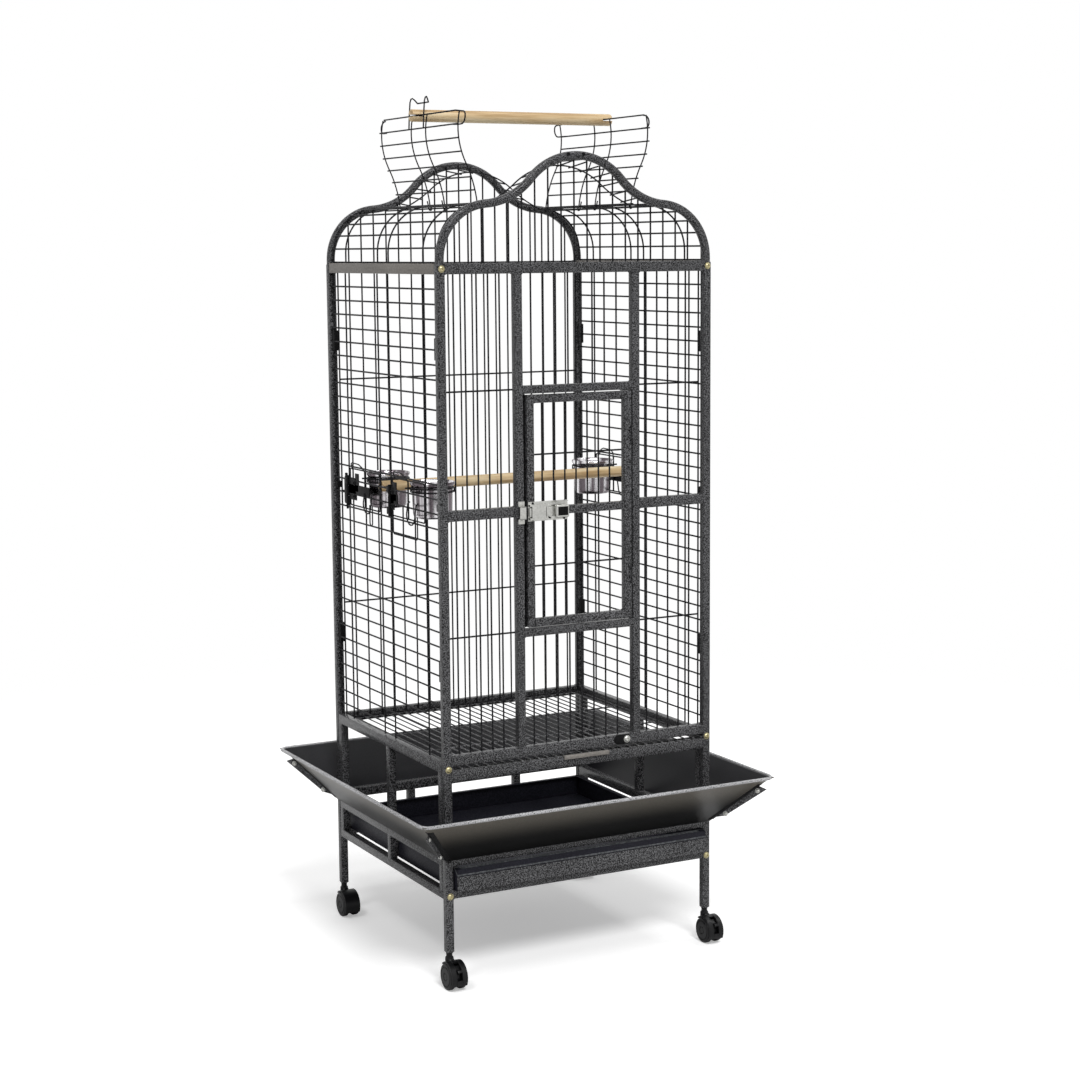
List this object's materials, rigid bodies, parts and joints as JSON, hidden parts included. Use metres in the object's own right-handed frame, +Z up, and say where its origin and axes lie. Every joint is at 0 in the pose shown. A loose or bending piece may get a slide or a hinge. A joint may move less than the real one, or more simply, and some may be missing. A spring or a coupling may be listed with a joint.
{
  "type": "bird cage",
  "caption": "Open-top bird cage on castors: welded tube frame, wire panels, hinged roof wings carrying a perch, front door, swing-out feeders, pull-out grate and tray, seed skirt.",
  "frame": {"origin": "centre of the overall footprint, skirt included, on the floor under the castors", "axes": "+Z up, +X to the right of someone facing the door, +Y from the door to the back"},
  "size_m": [0.79, 0.75, 1.72],
  "materials": {
    "powder_coat": "hammered grey powder coat",
    "wire_coat": "grey powder coat",
    "tray_black": "black powder coat",
    "black_plastic": "moulded",
    "plated": "zinc plated",
    "steel_cup": "polished",
    "perch_wood": "sanded, uncoated"
  },
  "bodies": {
    "cage": {"door_hinge_lower": "powder_coat", "door_hinge_upper": "powder_coat", "door_keeper": "plated", "front_crown_strip": "wire_coat", "front_dome_wires": "wire_coat", "front_frame": "powder_coat", "front_wires": "wire_coat", "inner_perch": "perch_wood", "left_front_feeder_hinge": "black_plastic", "left_grate_ledge": "powder_coat", "left_hinge_rod": "wire_coat", "left_rear_feeder_hinge": "black_plastic", "left_shoulder_wires": "wire_coat", "left_side_wires": "wire_coat", "left_stand_frame": "powder_coat", "left_top_rail": "powder_coat", "rear_crown_strip": "wire_coat", "rear_frame": "powder_coat", "rear_wires": "wire_coat", "right_grate_ledge": "powder_coat", "right_hinge_rod": "wire_coat", "right_rear_feeder_hinge": "black_plastic", "right_shoulder_wires": "wire_coat", "right_side_wires": "wire_coat", "right_stand_frame": "powder_coat", "right_top_rail": "powder_coat", "skirt_corner_front_left": "powder_coat", "skirt_corner_front_right": "powder_coat", "skirt_corner_rear_left": "powder_coat", "skirt_corner_rear_right": "powder_coat", "skirt_front": "powder_coat", "skirt_left": "powder_coat", "skirt_rear": "powder_coat", "skirt_right": "powder_coat"},
    "left_wing": {"left_wing": "wire_coat"},
    "right_wing": {"right_wing": "wire_coat"},
    "top_perch": {"top_perch": "perch_wood"},
    "door": {"door_frame": "powder_coat", "door_wires": "wire_coat", "door_latch_plate": "plated"},
    "latch_bolt": {"door_latch_bolt": "plated"},
    "grate": {"grate": "wire_coat"},
    "grate_lock": {"grate_lock": "powder_coat"},
    "tray": {"tray": "tray_black"},
    "left_rear_feeder_door": {"left_rear_feeder_door": "wire_coat"},
    "left_rear_cup": {"left_rear_cup": "steel_cup"},
    "left_front_feeder_door": {"left_front_feeder_door": "wire_coat"},
    "left_front_cup": {"left_front_cup": "steel_cup"},
    "right_rear_feeder_door": {"right_rear_feeder_door": "wire_coat"},
    "right_rear_cup": {"right_rear_cup": "steel_cup"},
    "caster_front_left": {"caster_body_front_left": "black_plastic"},
    "caster_wheels_front_left": {"caster_wheels_front_left": "black_plastic"},
    "caster_front_right": {"caster_body_front_right": "black_plastic"},
    "caster_wheels_front_right": {"caster_wheels_front_right": "black_plastic"},
    "caster_rear_left": {"caster_body_rear_left": "black_plastic"},
    "caster_wheels_rear_left": {"caster_wheels_rear_left": "black_plastic"},
    "caster_rear_right": {"caster_body_rear_right": "black_plastic"},
    "caster_wheels_rear_right": {"caster_wheels_rear_right": "black_plastic"},
    "caster_brake_front_left": {"caster_brake_front_left": "black_plastic"},
    "caster_brake_front_right": {"caster_brake_front_right": "black_plastic"}
  },
  "joints": [
    {"name": "left_wing_hinge", "type": "hinge", "parent": "cage", "child": "left_wing", "pos_m": [-0.16949, 0, 1.50145], "axis": [0, 1, 0], "range_deg": [0, 75.7]},
    {"name": "right_wing_hinge", "type": "hinge", "parent": "cage", "child": "right_wing", "pos_m": [0.16949, 0, 1.50145], "axis": [0, -1, 0], "range_deg": [0, 75.7]},
    {"name": "top_perch_lift", "type": "slide", "parent": "cage", "child": "top_perch", "axis": [0, 0, 1], "range_m": [0, 0.265]},
    {"name": "door_hinge", "type": "hinge", "parent": "cage", "child": "door", "pos_m": [0.11775, -0.2765, 0.918], "axis": [0, 0, 1], "range_deg": [0, 165]},
    {"name": "latch_bolt_slide", "type": "slide", "parent": "door", "child": "latch_bolt", "axis": [-1, 0, 0], "range_m": [0, 0.014]},
    {"name": "grate_slide", "type": "slide", "parent": "cage", "child": "grate", "axis": [0, -1, 0], "range_m": [0, 0.45]},
    {"name": "grate_lock_turn", "type": "hinge", "parent": "cage", "child": "grate_lock", "pos_m": [0.102, -0.2728, 0.448], "axis": [0, 1, 0], "range_deg": [-90, 0]},
    {"name": "tray_slide", "type": "slide", "parent": "cage", "child": "tray", "axis": [0, -1, 0], "range_m": [0, 0.48]},
    {"name": "left_rear_feeder_hinge", "type": "hinge", "parent": "cage", "child": "left_rear_feeder_door", "pos_m": [-0.2972, 0.186, 0.9595], "axis": [0, 0, -1], "range_deg": [0, 110]},
    {"name": "left_rear_cup_lift", "type": "slide", "parent": "left_rear_feeder_door", "child": "left_rear_cup", "axis": [0, 0, 1], "range_m": [0, 0.1]},
    {"name": "left_front_feeder_hinge", "type": "hinge", "parent": "cage", "child": "left_front_feeder_door", "pos_m": [-0.2972, -0.028, 0.9595], "axis": [0, 0, -1], "range_deg": [0, 110]},
    {"name": "left_front_cup_lift", "type": "slide", "parent": "left_front_feeder_door", "child": "left_front_cup", "axis": [0, 0, 1], "range_m": [0, 0.1]},
    {"name": "right_rear_feeder_hinge", "type": "hinge", "parent": "cage", "child": "right_rear_feeder_door", "pos_m": [0.2972, 0.186, 0.9595], "axis": [0, 0, 1], "range_deg": [0, 110]},
    {"name": "right_rear_cup_lift", "type": "slide", "parent": "right_rear_feeder_door", "child": "right_rear_cup", "axis": [0, 0, 1], "range_m": [0, 0.1]},
    {"name": "caster_swivel_front_left", "type": "hinge", "parent": "cage", "child": "caster_front_left", "pos_m": [-0.292, -0.2645, 0.0677], "axis": [0, 0, 1], "continuous": true},
    {"name": "caster_roll_front_left", "type": "hinge", "parent": "caster_front_left", "child": "caster_wheels_front_left", "pos_m": [-0.292, -0.2835, 0.026], "axis": [1, 0, 0], "continuous": true},
    {"name": "caster_swivel_front_right", "type": "hinge", "parent": "cage", "child": "caster_front_right", "pos_m": [0.292, -0.2645, 0.0677], "axis": [0, 0, 1], "continuous": true},
    {"name": "caster_roll_front_right", "type": "hinge", "parent": "caster_front_right", "child": "caster_wheels_front_right", "pos_m": [0.292, -0.2835, 0.026], "axis": [1, 0, 0], "continuous": true},
    {"name": "caster_swivel_rear_left", "type": "hinge", "parent": "cage", "child": "caster_rear_left", "pos_m": [-0.292, 0.2645, 0.0677], "axis": [0, 0, 1], "continuous": true},
    {"name": "caster_roll_rear_left", "type": "hinge", "parent": "caster_rear_left", "child": "caster_wheels_rear_left", "pos_m": [-0.292, 0.2455, 0.026], "axis": [1, 0, 0], "continuous": true},
    {"name": "caster_swivel_rear_right", "type": "hinge", "parent": "cage", "child": "caster_rear_right", "pos_m": [0.292, 0.2645, 0.0677], "axis": [0, 0, 1], "continuous": true},
    {"name": "caster_roll_rear_right", "type": "hinge", "parent": "caster_rear_right", "child": "caster_wheels_rear_right", "pos_m": [0.292, 0.2455, 0.026], "axis": [1, 0, 0], "continuous": true},
    {"name": "caster_brake_front_left", "type": "hinge", "parent": "caster_front_left", "child": "caster_brake_front_left", "pos_m": [-0.292, -0.2835, 0.026], "axis": [1, 0, 0], "range_deg": [0, 15]},
    {"name": "caster_brake_front_right", "type": "hinge", "parent": "caster_front_right", "child": "caster_brake_front_right", "pos_m": [0.292, -0.2835, 0.026], "axis": [1, 0, 0], "range_deg": [0, 15]}
  ],
  "couplings": [
    {"joint": "right_wing_hinge", "follows": "left_wing_hinge", "ratio": 1},
    {"joint": "top_perch_lift", "follows": "left_wing_hinge", "m_per_rad": 0.2}
  ]
}
